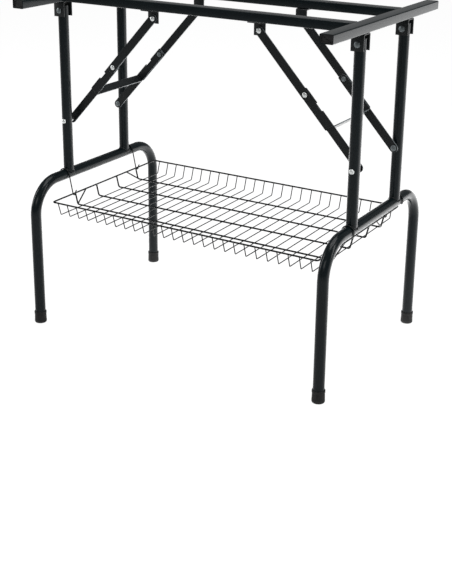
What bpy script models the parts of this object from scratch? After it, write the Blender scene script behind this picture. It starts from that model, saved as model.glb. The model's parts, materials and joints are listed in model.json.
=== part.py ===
"""Folding table undercarriage with a hanging wire basket.

Two bent tube leg frames hinge under a flat top frame, each held open by a pair of
two-link braces, and a shallow wire basket hangs on four wire hooks between them.
+X runs along the length, -Y is the front, +Z is up, and the origin is on the floor
under the middle. All lengths are in metres.
"""

import math

import bmesh
import bpy
from mathutils import Matrix, Vector

# Driving dimensions -----------------------------------------------------------------
GAP = 0.0003                    # left between pieces that touch
WELD_DEPTH = 0.0005             # how far welded pieces sink into each other
TUBE_R = 0.0127                 # 25.4 mm leg tube
TUBE_WALL = 0.0015
FRAME_X = 0.382                 # leg frames stand at +X and -X
LEG_Y = 0.242                   # half the distance between a frame's two legs
RAIL_Z = 0.350                  # centre of a leg frame's cross rail
BEND_R = 0.076                  # centre line radius of the tube bends
BEND_STEPS = 6
POST_R = 0.0125
POST_Y = 0.114
PIVOT_Z = 0.4826                # where the braces meet the posts
BRACE_ANGLE = math.radians(47.5)
LOWER_LINK = 0.1918             # post pivot to knee
FOOT_R = 0.0147
FOOT_HEIGHT = 0.029
FOOT_FLOOR = 0.004

# The links are sized so that the brace is straight when open and flat when folded.
LINK_FACTOR = math.sin(BRACE_ANGLE) - math.cos(BRACE_ANGLE)
BRACE_SPAN = 2 * LOWER_LINK / (1 + LINK_FACTOR)
UPPER_LINK = BRACE_SPAN - LOWER_LINK
HINGE_Z = PIVOT_Z + BRACE_SPAN * math.sin(BRACE_ANGLE)
BRACKET_X = FRAME_X - BRACE_SPAN * math.cos(BRACE_ANGLE)

# Flat links lie in layers inside the posts, measured outwards from the middle plane.
PLATE = 0.0025
LOWER_ARM_Y = 0.0909
CHEEK_Y = 0.0937
UPPER_ARM_Y = 0.0965
ARM_WIDTH = 0.020
CHEEK_WIDTH = 0.0224
CHEEK_START = 0.104             # distances along the brace from the post pivot
CHEEK_END = 0.203
NOTCH_START = 0.142
NOTCH_END = 0.163
NOTCH_DEPTH = 0.0042
WEB_AT = 0.1016
UPPER_TAIL = 0.014              # the upper arm runs this far past the knee
PIVOT_HOLE_R = 0.0043
PIVOT_SHANK_R = 0.0040
RIVET_HOLE_R = 0.0034
RIVET_SHANK_R = 0.0030

# Top frame
FRAME_BOTTOM = HINGE_Z + 0.022
BAR_HEIGHT = 0.020
BAR_WIDTH = 0.030
BAR_WALL = 0.0015
BAR_CORNER = 0.002
CROSS_BAR_LENGTH = 0.540
BRACKET_WIDTH = 0.029
EAR_DROP = 0.014

# Basket
RIM_X = 0.354
RIM_Y = 0.212
RIM_Z = 0.306
RIM_CORNER = 0.005
HEAVY_WIRE_R = 0.0020
LIGHT_WIRE_R = 0.00125
HOOK_WIRE_R = 0.0015
CROSS_WIRE_COUNT = 26
CROSS_WIRE_PITCH = 0.027
CROSS_WIRE_Z = 0.275
STRAIGHT_END = 0.001            # straight stretch before a wire meets the next piece
WALL_FOOT_Y = 0.197
WALL_KNEE_Y = 0.2045
WALL_KNEE_Z = 0.282
FLOOR_WIRE_Y = (-0.126, -0.042, 0.042, 0.126)
FLOOR_WIRE_END_X = 0.344
RISER_X = 0.348
DIAGONAL_RUN = 0.040
HOOK_Y = 0.1312

SIDES = {"left": -1, "right": 1}
ROWS = {"front": -1, "back": 1}

# Clean start ------------------------------------------------------------------------
for old in list(bpy.data.objects):
    bpy.data.objects.remove(old, do_unlink=True)

parts = bpy.data.collections.new("folding_table_base")
guides = bpy.data.collections.new("cutters")
bpy.context.scene.collection.children.link(parts)
bpy.context.scene.collection.children.link(guides)


# Materials --------------------------------------------------------------------------
def make_material(name, colour, roughness, metallic):
    """A Principled material."""
    material = bpy.data.materials.new(name)
    material.use_nodes = True
    shader = material.node_tree.nodes["Principled BSDF"]
    shader.inputs["Base Color"].default_value = (*colour, 1.0)
    shader.inputs["Roughness"].default_value = roughness
    shader.inputs["Metallic"].default_value = metallic
    return material


COATED_STEEL = ((0.010, 0.013, 0.014), 0.32, 0.0)
COATED_PLATE = ((0.011, 0.013, 0.014), 0.42, 0.0)
COATED_WIRE = ((0.009, 0.011, 0.012), 0.35, 0.0)
ZINC = ((0.62, 0.63, 0.62), 0.30, 1.0)
RUBBER = ((0.012, 0.012, 0.012), 0.75, 0.0)


def finish(obj, name, look, parent=None):
    """Name the object, give it its own material and hang it on its parent empty."""
    obj.name = name
    obj.data.name = name
    obj.data.materials.clear()
    obj.data.materials.append(make_material(name + "_finish", *look))
    for collection in list(obj.users_collection):
        collection.objects.unlink(obj)
    parts.objects.link(obj)
    if parent is not None:
        obj.parent = parent
        obj.location = obj.location - parent.location
    return obj


# Shape helpers ----------------------------------------------------------------------
def curve_to_mesh(curve_object):
    """The curve as a welded mesh object in the same place; the curve is removed."""
    bpy.context.view_layer.update()
    graph = bpy.context.evaluated_depsgraph_get()
    mesh = bpy.data.meshes.new_from_object(curve_object.evaluated_get(graph))
    obj = bpy.data.objects.new(curve_object.name, mesh)
    obj.location = curve_object.location
    obj.rotation_euler = curve_object.rotation_euler
    parts.objects.link(obj)
    bpy.data.objects.remove(curve_object, do_unlink=True)
    work = bmesh.new()
    work.from_mesh(mesh)
    bmesh.ops.remove_doubles(work, verts=work.verts, dist=0.00002)
    bmesh.ops.recalc_face_normals(work, faces=work.faces)
    work.to_mesh(mesh)
    work.free()
    return obj


def wire_curve(name, paths, radius, resolution, caps):
    """A curve object with one round wire for each path of world points."""
    curve = bpy.data.curves.new(name, "CURVE")
    curve.dimensions = "3D"
    curve.bevel_depth = radius
    curve.bevel_resolution = resolution
    curve.use_fill_caps = caps
    for path in paths:
        spline = curve.splines.new("POLY")
        spline.points.add(len(path) - 1)
        for point, place in zip(spline.points, path):
            point.co = (*place, 1.0)
    obj = bpy.data.objects.new(name, curve)
    parts.objects.link(obj)
    return obj


def wires(name, paths, radius, resolution=0):
    """Solid wires with closed ends."""
    obj = curve_to_mesh(wire_curve(name, paths, radius, resolution, True))
    obj.data.shade_smooth()
    obj.data.set_sharp_from_angle(angle=math.radians(50))
    return obj


def hollow_tube(name, path, radius, look, parent=None):
    """A bent tube with open ends and a real wall."""
    obj = curve_to_mesh(wire_curve(name, [path], radius, 5, False))
    obj.data.shade_smooth()
    wall = obj.modifiers.new("wall", "SOLIDIFY")
    wall.thickness = TUBE_WALL
    wall.offset = -1
    return finish(obj, name, look, parent)


def extrusion(name, loops, length, turn):
    """A flat outline with holes, drawn in the local XY plane and extruded along Z.

    The first loop is the outline and any others are holes. turn is the rotation
    matrix that lays the extrusion in the world.
    """
    curve = bpy.data.curves.new(name, "CURVE")
    curve.dimensions = "2D"
    curve.fill_mode = "BOTH"
    curve.extrude = length / 2
    for loop in loops:
        spline = curve.splines.new("POLY")
        spline.points.add(len(loop) - 1)
        spline.use_cyclic_u = True
        for point, (u, v) in zip(spline.points, loop):
            point.co = (u, v, 0.0, 1.0)
    obj = bpy.data.objects.new(name, curve)
    obj.rotation_euler = turn.to_euler()
    parts.objects.link(obj)
    return curve_to_mesh(obj)


def turned(name, profile, steps, turn):
    """A Screw solid from (radius, height) points, listed from the top down."""
    mesh = bpy.data.meshes.new(name)
    points = [(radius, 0.0, height) for radius, height in profile]
    mesh.from_pydata(points, [(i, i + 1) for i in range(len(points) - 1)], [])
    obj = bpy.data.objects.new(name, mesh)
    obj.rotation_euler = turn.to_euler()
    parts.objects.link(obj)
    screw = obj.modifiers.new("turn", "SCREW")
    screw.axis = "Z"
    screw.steps = steps
    screw.render_steps = steps
    screw.use_merge_vertices = True
    screw.merge_threshold = 0.00005
    screw.use_smooth_shade = True
    return obj


def circle(centre, radius, count=16):
    """Points around a circle."""
    turns = [2 * math.pi * i / count for i in range(count)]
    return [(centre[0] + radius * math.cos(a), centre[1] + radius * math.sin(a)) for a in turns]


def arc(centre, radius, start, end, count):
    """Points along an arc, angles in degrees."""
    angles = [math.radians(start + (end - start) * i / count) for i in range(count + 1)]
    return [(centre[0] + radius * math.cos(a), centre[1] + radius * math.sin(a)) for a in angles]


def round_rectangle(width, height, corner, count=2):
    """Points around a rectangle with rounded corners, centred on the origin."""
    w = width / 2 - corner
    h = height / 2 - corner
    points = []
    for quarter, (x, y) in enumerate(((w, h), (-w, h), (-w, -h), (w, -h))):
        points += arc((x, y), corner, 90 * quarter, 90 * quarter + 90, count)
    return points


def combine(target, other, operation):
    """Cut a guide out of a part, or weld it on; the guide stays as a hidden wire."""
    other.name = f"{target.name}_{operation.lower()}_guide"
    other.hide_render = True
    other.display_type = "WIRE"
    for collection in list(other.users_collection):
        collection.objects.unlink(other)
    guides.objects.link(other)
    boolean = target.modifiers.new(operation.lower(), "BOOLEAN")
    boolean.operation = operation
    boolean.solver = "EXACT"
    boolean.object = other


def rod_cutter(start, end, radius, count=24):
    """A round cutter between two world points."""
    run = Vector(end) - Vector(start)
    bpy.ops.mesh.primitive_cylinder_add(
        vertices=count,
        radius=radius,
        depth=run.length,
        location=(Vector(start) + Vector(end)) / 2,
        rotation=run.to_track_quat("Z", "Y").to_euler(),
    )
    return bpy.context.object


# Local XY of an extrusion laid in a world plane.
ALONG_X = Matrix.Rotation(math.pi / 2, 4, "Z") @ Matrix.Rotation(math.pi / 2, 4, "X")
ALONG_Y = Matrix.Rotation(math.pi / 2, 4, "X")


def outward(row):
    """Turns local +Z to point away from the middle plane in Y."""
    return Matrix.Rotation(-row * math.pi / 2, 4, "X")


def brace_turn(side):
    """Lays local +X along a brace, from the post pivot up towards the middle."""
    angle = -BRACE_ANGLE if side < 0 else BRACE_ANGLE - math.pi
    return Matrix.Rotation(angle, 4, "Y") @ ALONG_Y


def along_brace(side, distance):
    """World X and Z at a distance along a brace from its post pivot."""
    x = side * (FRAME_X - distance * math.cos(BRACE_ANGLE))
    return x, PIVOT_Z + distance * math.sin(BRACE_ANGLE)


def make_empty(name, location):
    """An empty that marks a joint's axis."""
    empty = bpy.data.objects.new(name, None)
    empty.empty_display_size = 0.03
    empty.location = location
    parts.objects.link(empty)
    return empty


# Leg frames -------------------------------------------------------------------------
def leg_path(x):
    """The bent tube's centre line, from one foot over the rail to the other."""
    bend_y = LEG_Y - BEND_R
    bend_z = RAIL_Z - BEND_R
    foot_z = FOOT_FLOOR + GAP
    path = [(x, -LEG_Y, foot_z)]
    path += [(x, y, z) for y, z in arc((-bend_y, bend_z), BEND_R, 180, 90, BEND_STEPS)]
    path += [(x, y, z) for y, z in arc((bend_y, bend_z), BEND_R, 90, 0, BEND_STEPS)]
    path += [(x, LEG_Y, foot_z)]
    return path


def build_post(name, x, y, hinge):
    """An upright that stands on the rail and swings on the hinge at its top."""
    top = HINGE_Z + 0.012
    post = hollow_tube(name, [(x, y, RAIL_Z), (x, y, top)], POST_R, COATED_STEEL, hinge)
    saddle = rod_cutter((x, y - 0.03, RAIL_Z), (x, y + 0.03, RAIL_Z), TUBE_R + 2 * GAP, 32)
    combine(post, saddle, "DIFFERENCE")
    for z in (PIVOT_Z, HINGE_Z):
        combine(post, rod_cutter((x, y - 0.02, z), (x, y + 0.02, z), PIVOT_HOLE_R, 16), "DIFFERENCE")
    return post


def build_foot(name, x, y, hinge):
    """A rubber cap that the leg stands in."""
    inside = TUBE_R + 2 * GAP
    profile = [
        (0.0, FOOT_FLOOR),
        (inside, FOOT_FLOOR),
        (inside, FOOT_HEIGHT),
        (FOOT_R - 0.0008, FOOT_HEIGHT),
        (FOOT_R, FOOT_HEIGHT - 0.0010),
        (FOOT_R, FOOT_HEIGHT - 0.0065),
        (FOOT_R - 0.0006, FOOT_HEIGHT - 0.0070),
        (FOOT_R - 0.0003, 0.002),
        (FOOT_R - 0.0020, 0.0),
        (0.0, 0.0),
    ]
    foot = turned(name, profile, 20, Matrix.Identity(4))
    foot.location = (x, y, 0.0)
    return finish(foot, name, RUBBER, hinge)


def hook_path(side, y):
    """An S of wire over the rail tube and under the basket's end wire."""
    over_r = TUBE_R + GAP + HOOK_WIRE_R
    under_r = HEAVY_WIRE_R + GAP + HOOK_WIRE_R
    drop = Vector((RIM_X - FRAME_X, RIM_Z - RAIL_Z))
    lean = math.degrees(math.atan2(drop.y, drop.x)) % 360
    cross = lean - math.degrees(math.acos((over_r + under_r) / drop.length))
    path = arc((0, 0), over_r, -35, cross, 10)
    path += arc(drop, under_r, cross + 180, 175, 6)
    tip = path[-1]
    path += [(tip[0] - 0.001, tip[1] + 0.005), (tip[0] - 0.0035, tip[1] + 0.009)]
    return [(side * (FRAME_X + u), y, RAIL_Z + v) for u, v in path]


def pivot_rivet(name, x, z, row):
    """The stepped rivet that holds a lower arm off its post."""
    post_in = POST_Y - POST_R
    post_out = POST_Y + POST_R
    profile = [
        (0.0, post_out + 0.0036),
        (0.0030, post_out + 0.0034),
        (0.0055, post_out + 0.0020),
        (0.0065, post_out + GAP),
        (PIVOT_SHANK_R, post_out + GAP),
        (PIVOT_SHANK_R, post_in - GAP),
        (0.0060, post_in - GAP),
        (0.0060, LOWER_ARM_Y + PLATE + GAP),
        (PIVOT_SHANK_R, LOWER_ARM_Y + PLATE + GAP),
        (PIVOT_SHANK_R, LOWER_ARM_Y - GAP),
        (0.0070, LOWER_ARM_Y - GAP),
        (0.0055, LOWER_ARM_Y - 0.0022),
        (0.0, LOWER_ARM_Y - 0.0028),
    ]
    rivet = turned(name, profile, 10, outward(row))
    rivet.location = (x, 0.0, z)
    return rivet


def hinge_rivet(name, x, z, row):
    """The rivet through both ears of a hinge bracket and the post."""
    inner = POST_Y - POST_R - 0.0004 - PLATE
    outer = POST_Y + POST_R + 0.0004 + PLATE
    profile = [
        (0.0, outer + 0.0030),
        (0.0050, outer + 0.0022),
        (0.0070, outer + GAP),
        (PIVOT_SHANK_R, outer + GAP),
        (PIVOT_SHANK_R, inner - GAP),
        (0.0070, inner - GAP),
        (0.0050, inner - 0.0022),
        (0.0, inner - 0.0030),
    ]
    rivet = turned(name, profile, 10, outward(row))
    rivet.location = (x, 0.0, z)
    return rivet


def small_rivet(name, x, z, row, low, high, head_out):
    """A rivet between two heights along Y, with a domed head on one end."""
    if head_out:
        profile = [(0.0, high + 0.0019), (0.0040, high + 0.0014), (0.0058, high + GAP)]
        profile += [(RIVET_SHANK_R, high + GAP), (RIVET_SHANK_R, low), (0.0, low)]
    else:
        profile = [(0.0, high), (RIVET_SHANK_R, high), (RIVET_SHANK_R, low - GAP)]
        profile += [(0.0058, low - GAP), (0.0040, low - 0.0014), (0.0, low - 0.0019)]
    rivet = turned(name, profile, 8, outward(row))
    rivet.location = (x, 0.0, z)
    return rivet


def build_leg_frame(side_name, side):
    """Tube, posts, feet, hooks and pivot rivets of one leg frame."""
    x = side * FRAME_X
    hinge = make_empty(side_name + "_leg_hinge", (x, 0.0, HINGE_Z))
    hollow_tube(side_name + "_leg_tube", leg_path(x), TUBE_R, COATED_STEEL, hinge)
    for row_name, row in ROWS.items():
        label = f"{side_name}_{row_name}"
        build_post(label + "_post", x, row * POST_Y, hinge)
        build_foot(label + "_foot", x, row * LEG_Y, hinge)
        hook = wires(label + "_hook", [hook_path(side, row * HOOK_Y)], HOOK_WIRE_R, 2)
        finish(hook, label + "_hook", COATED_WIRE, hinge)
        rivet = pivot_rivet(label + "_pivot_rivet", x, PIVOT_Z, row)
        finish(rivet, label + "_pivot_rivet", ZINC, hinge)


# Braces -----------------------------------------------------------------------------
def arm_outline(start, end, width):
    """A flat bar with round ends; start and end are the end tips."""
    r = width / 2
    outline = arc((start + r, 0.0), r, 270, 90, 6)
    outline += arc((end - r, 0.0), r, 90, -90, 6)
    return outline


def cheek_outline(up):
    """The knee plate, notched along its upper edge."""
    h = CHEEK_WIDTH / 2
    step = 0.0015
    outline = [(CHEEK_START, -h + step), (CHEEK_START, h - step), (CHEEK_START + step, h)]
    outline += [(NOTCH_START, h), (NOTCH_START + step, h - NOTCH_DEPTH)]
    outline += [(NOTCH_END, h - NOTCH_DEPTH), (NOTCH_END, h)]
    outline += arc((CHEEK_END - 0.004, h - 0.004), 0.004, 90, 0, 3)
    outline += arc((CHEEK_END - 0.004, -h + 0.004), 0.004, 0, -90, 3)
    outline += [(CHEEK_START + step, -h)]
    return [(u, v * up) for u, v in outline]


def lower_outline(up):
    """The lower link, cut back to the same floor as the knee plate's notch."""
    r = ARM_WIDTH / 2
    floor = CHEEK_WIDTH / 2 - NOTCH_DEPTH
    rounded = arm_outline(-r, CHEEK_END - 0.001, ARM_WIDTH)
    half = len(rounded) // 2
    cut = [(NOTCH_START, r), (NOTCH_START + 0.0015, floor), (NOTCH_END, floor), (NOTCH_END, r)]
    return [(u, v * up) for u, v in rounded[:half] + cut + rounded[half:]]


def brace_plate(name, side, row, loops, layer, parent):
    """One flat link of a brace, drawn along the brace from the post pivot."""
    plate = extrusion(name, loops, PLATE, brace_turn(side))
    plate.location = (side * FRAME_X, row * (layer + PLATE / 2), PIVOT_Z)
    return finish(plate, name, COATED_PLATE, parent)


def build_brace(side_name, side):
    """Both pairs of links on one side, their cross web and their knee rivets."""
    up = -side
    pivot = make_empty(side_name + "_lower_brace_pivot", (side * FRAME_X, 0.0, PIVOT_Z))
    bracket = make_empty(side_name + "_upper_brace_pivot", (side * BRACKET_X, 0.0, HINGE_Z))
    r = ARM_WIDTH / 2
    lower = [lower_outline(up)]
    lower += [circle((0.0, 0.0), PIVOT_HOLE_R), circle((LOWER_LINK, 0.0), RIVET_HOLE_R, 12)]
    cheek = [cheek_outline(up), circle((LOWER_LINK, 0.0), RIVET_HOLE_R, 12)]
    upper_start = LOWER_LINK - UPPER_TAIL
    upper = [arm_outline(upper_start, BRACE_SPAN + r, ARM_WIDTH)]
    upper += [circle((LOWER_LINK, 0.0), RIVET_HOLE_R, 12)]
    upper += [circle((BRACE_SPAN, 0.0), RIVET_HOLE_R, 12)]
    for row_name, row in ROWS.items():
        label = f"{side_name}_{row_name}"
        brace_plate(label + "_lower_arm", side, row, lower, LOWER_ARM_Y, pivot)
        brace_plate(label + "_knee_plate", side, row, cheek, CHEEK_Y, pivot)
        brace_plate(label + "_upper_arm", side, row, upper, UPPER_ARM_Y, bracket)
    half = ARM_WIDTH / 2 - 0.0002
    web_outline = [(-PLATE / 2, -half), (PLATE / 2, -half), (PLATE / 2, half), (-PLATE / 2, half)]
    name = side_name + "_brace_web"
    web = extrusion(name, [web_outline], 2 * (LOWER_ARM_Y - GAP), brace_turn(side))
    web_x, web_z = along_brace(side, WEB_AT)
    web.location = (web_x, 0.0, web_z)
    finish(web, name, COATED_PLATE, pivot)
    x, z = along_brace(side, LOWER_LINK)
    for row_name, row in ROWS.items():
        name = f"{side_name}_{row_name}_knee_pin"
        pin = small_rivet(name, x, z, row, LOWER_ARM_Y, CHEEK_Y + PLATE, False)
        finish(pin, name, ZINC, pivot)
        name = f"{side_name}_{row_name}_knee_rivet"
        low = UPPER_ARM_Y + GAP
        rivet = small_rivet(name, x, z, row, low, UPPER_ARM_Y + PLATE, True)
        finish(rivet, name, ZINC, bracket)


# Top frame --------------------------------------------------------------------------
def bar(name, length, turn, location):
    """A rectangular steel tube lying flat."""
    outline = round_rectangle(BAR_WIDTH, BAR_HEIGHT, BAR_CORNER)
    inside_w = BAR_WIDTH - 2 * BAR_WALL
    inside_h = BAR_HEIGHT - 2 * BAR_WALL
    inside = round_rectangle(inside_w, inside_h, BAR_CORNER / 2)
    obj = extrusion(name, [outline, inside], length, turn)
    obj.location = location
    return finish(obj, name, COATED_STEEL)


def weld_hinge_bracket(cross_bar, x, row):
    """A downward U, welded under a cross bar, that a post swings in."""
    half = POST_R + 0.0004
    top = FRAME_BOTTOM + WELD_DEPTH - HINGE_Z
    outline = [
        (-half - PLATE, -EAR_DROP), (-half, -EAR_DROP), (-half, top - PLATE),
        (half, top - PLATE), (half, -EAR_DROP), (half + PLATE, -EAR_DROP),
        (half + PLATE, top), (-half - PLATE, top),
    ]
    bracket = extrusion("bracket", [outline], BRACKET_WIDTH, ALONG_X)
    y = row * POST_Y
    bracket.location = (x, y, HINGE_Z)
    combine(cross_bar, bracket, "UNION")
    reach = 0.02
    hole = rod_cutter((x, y - reach, HINGE_Z), (x, y + reach, HINGE_Z), PIVOT_HOLE_R, 16)
    combine(cross_bar, hole, "DIFFERENCE")


def weld_brace_bracket(long_bar, x, row):
    """An angle, welded under a long bar, whose tab carries the top end of a brace."""
    top = FRAME_BOTTOM + WELD_DEPTH - HINGE_Z
    tab = CHEEK_Y
    outline = [
        (tab, -0.011), (tab + PLATE, -0.011), (tab + PLATE, top - PLATE),
        (tab + 0.032, top - PLATE), (tab + 0.032, top), (tab, top),
    ]
    if row < 0:
        outline = [(-u, v) for u, v in reversed(outline)]
    bracket = extrusion("bracket", [outline], 0.028, ALONG_X)
    bracket.location = (x, 0.0, HINGE_Z)
    combine(long_bar, bracket, "UNION")
    y = row * (tab + PLATE / 2)
    reach = 0.01
    hole = rod_cutter((x, y - reach, HINGE_Z), (x, y + reach, HINGE_Z), RIVET_HOLE_R, 12)
    combine(long_bar, hole, "DIFFERENCE")


def build_top_frame():
    """Two cross bars, two long bars, their welded brackets and the rivets."""
    centre_z = FRAME_BOTTOM + BAR_HEIGHT / 2
    long_length = 2 * (FRAME_X - BAR_WIDTH / 2 - GAP)
    for side_name, side in SIDES.items():
        x = side * FRAME_X
        name = side_name + "_cross_bar"
        cross_bar = bar(name, CROSS_BAR_LENGTH, ALONG_Y, (x, 0.0, centre_z))
        for row_name, row in ROWS.items():
            weld_hinge_bracket(cross_bar, x, row)
            name = f"{side_name}_{row_name}_hinge_rivet"
            finish(hinge_rivet(name, x, HINGE_Z, row), name, ZINC)
    for row_name, row in ROWS.items():
        location = (0.0, row * POST_Y, centre_z)
        long_bar = bar(row_name + "_long_bar", long_length, ALONG_X, location)
        for side_name, side in SIDES.items():
            weld_brace_bracket(long_bar, side * BRACKET_X, row)
            name = f"{side_name}_{row_name}_bracket_rivet"
            low = CHEEK_Y + GAP
            high = UPPER_ARM_Y + PLATE
            rivet = small_rivet(name, side * BRACKET_X, HINGE_Z, row, low, high, True)
            finish(rivet, name, ZINC)


# Basket -----------------------------------------------------------------------------
def build_basket():
    """A shallow welded wire tray, level under the rails."""
    lift = make_empty("basket_lift", (0.0, 0.0, RIM_Z))
    corner_x = RIM_X - RIM_CORNER
    corner_y = RIM_Y - RIM_CORNER
    first = -CROSS_WIRE_PITCH * (CROSS_WIRE_COUNT - 1) / 2
    stations = [first + CROSS_WIRE_PITCH * i for i in range(CROSS_WIRE_COUNT)]

    floor_y = WALL_FOOT_Y - GAP
    runs = [[(x, -floor_y, CROSS_WIRE_Z), (x, floor_y, CROSS_WIRE_Z)] for x in stations]
    floor = wires("basket_floor", runs, LIGHT_WIRE_R)
    floor_z = CROSS_WIRE_Z + LIGHT_WIRE_R + HEAVY_WIRE_R - WELD_DEPTH
    end_x = FLOOR_WIRE_END_X
    runs = [[(-end_x, y, floor_z), (end_x, y, floor_z)] for y in FLOOR_WIRE_Y]
    combine(floor, wires("long_wires", runs, HEAVY_WIRE_R), "UNION")
    finish(floor, "basket_floor", COATED_WIRE, lift)

    bend_y = (WALL_KNEE_Y + WALL_FOOT_Y) / 2 + 0.002
    section = [
        (RIM_Y, RIM_Z),
        (WALL_KNEE_Y, WALL_KNEE_Z),
        (bend_y, CROSS_WIRE_Z + 0.0015),
        (WALL_FOOT_Y + STRAIGHT_END, CROSS_WIRE_Z),
        (WALL_FOOT_Y, CROSS_WIRE_Z),
    ]
    for row_name, row in ROWS.items():
        name = f"basket_{row_name}_wall"
        bends = [(-RIM_X, corner_y - STRAIGHT_END)]
        bends += arc((-corner_x, corner_y), RIM_CORNER, 180, 90, 3)
        bends += arc((corner_x, corner_y), RIM_CORNER, 90, 0, 3)
        bends += [(RIM_X, corner_y - STRAIGHT_END)]
        wall = wires(name, [[(x, row * y, RIM_Z) for x, y in bends]], HEAVY_WIRE_R)
        runs = [[(x, row * y, z) for y, z in section] for x in stations]
        combine(wall, wires("wall_wires", runs, LIGHT_WIRE_R), "UNION")
        finish(wall, name, COATED_WIRE, lift)

    for side_name, side in SIDES.items():
        name = f"basket_{side_name}_end"
        reach = corner_y - STRAIGHT_END - GAP
        rim = [(side * RIM_X, -reach, RIM_Z), (side * RIM_X, reach, RIM_Z)]
        end = wires(name, [rim], HEAVY_WIRE_R)
        risers = []
        diagonals = []
        for y in FLOOR_WIRE_Y:
            foot_x = FLOOR_WIRE_END_X + GAP
            foot = [(side * foot_x, y, floor_z), (side * (foot_x + STRAIGHT_END), y, floor_z)]
            elbow = (side * RISER_X, y, floor_z + 0.0025)
            risers.append(foot + [elbow, (side * RIM_X, y, RIM_Z)])
            if abs(y) > FLOOR_WIRE_Y[2]:
                inward = y - math.copysign(DIAGONAL_RUN, y)
                diagonals.append([elbow, (side * RIM_X, inward, RIM_Z)])
        combine(end, wires("risers", risers, HEAVY_WIRE_R), "UNION")
        combine(end, wires("diagonals", diagonals, HEAVY_WIRE_R), "UNION")
        finish(end, name, COATED_WIRE, lift)


build_top_frame()
for frame_name, frame_side in SIDES.items():
    build_leg_frame(frame_name, frame_side)
    build_brace(frame_name, frame_side)
build_basket()
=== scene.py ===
"""Looks of a folding table undercarriage with a hanging wire basket.

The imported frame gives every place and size. Each sub-assembly below is a class that
models its pieces around that frame, dresses them and hangs them on the right body.
"""

from __future__ import annotations

import json
import logging
import math
from dataclasses import dataclass, field
from enum import Enum
from typing import Callable, Sequence

import bpy
from mathutils import Matrix, Vector


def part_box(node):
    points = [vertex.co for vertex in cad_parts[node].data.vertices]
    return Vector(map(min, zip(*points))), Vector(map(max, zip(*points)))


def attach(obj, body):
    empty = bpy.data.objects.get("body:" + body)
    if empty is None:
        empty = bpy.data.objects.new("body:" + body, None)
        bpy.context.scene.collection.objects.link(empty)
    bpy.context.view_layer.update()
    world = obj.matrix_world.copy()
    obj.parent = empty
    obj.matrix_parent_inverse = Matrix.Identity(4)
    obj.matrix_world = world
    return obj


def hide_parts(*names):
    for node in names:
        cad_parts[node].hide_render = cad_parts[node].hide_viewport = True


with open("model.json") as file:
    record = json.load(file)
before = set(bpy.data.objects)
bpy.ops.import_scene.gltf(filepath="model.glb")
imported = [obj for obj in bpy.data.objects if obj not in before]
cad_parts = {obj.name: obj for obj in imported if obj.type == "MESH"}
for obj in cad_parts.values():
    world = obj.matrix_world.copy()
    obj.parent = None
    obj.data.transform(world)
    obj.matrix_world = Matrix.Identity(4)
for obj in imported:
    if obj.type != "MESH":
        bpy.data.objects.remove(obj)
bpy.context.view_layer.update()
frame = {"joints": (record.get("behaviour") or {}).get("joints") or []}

log = logging.getLogger("table_base")

Point = tuple[float, float, float]
Profile = Sequence[tuple[float, float]]

SIDES = {"left": -1, "right": 1}
ROWS = {"front": -1, "back": 1}
PLATE = 0.0025  # thickness of the flat steel
GAP = 0.0003  # play between neighbours
SOFT_EDGE = 0.0003  # how far a cut edge is rounded
ROUND = 48
WIRE_ROUND = 16
RIVET_ROUND = 32
PIN_ROUND = 28
BEAD_ROUND = 10
TUBE_SMOOTH = 60.0  # degrees shaded smooth on tube, wire and turned work
WIRE_SMOOTH = 50.0
TURNED_SMOOTH = 38.0
SHEAR_TILT = 0.98  # a face that leans more than this is a sheared edge
RIPPLE = 0.16  # how much a weld bead swells
RIPPLE_STEP = 1.9  # its turn from point to point
DUST = (0.030, 0.033, 0.035, 1.0)
# painted highlight: the lighter colour mixed onto the sheared edges of plate
EDGE_HIGHLIGHT_PAINT = (0.16, 0.18, 0.19, 1.0)
RUBBER_BLOOM = (0.017, 0.017, 0.017, 1.0)


@dataclass(frozen=True)
class Notch:
    """A step cut out of a strip's long edge."""

    start: float
    end: float
    floor: float


# Reading the frame ------------------------------------------------------------------
def joint_place(name: str) -> Vector:
    """A point on the axis of the joint of this name."""
    joint = next(j for j in frame["joints"] if j["name"] == name)
    return Vector(joint["pos_m"])


def middle(node: str) -> Vector:
    """The centre of a node's box."""
    low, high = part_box(node)
    return (Vector(low) + Vector(high)) / 2


def extent(node: str) -> Vector:
    """The size of a node's box along X, Y and Z."""
    low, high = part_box(node)
    return Vector(high) - Vector(low)


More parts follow.
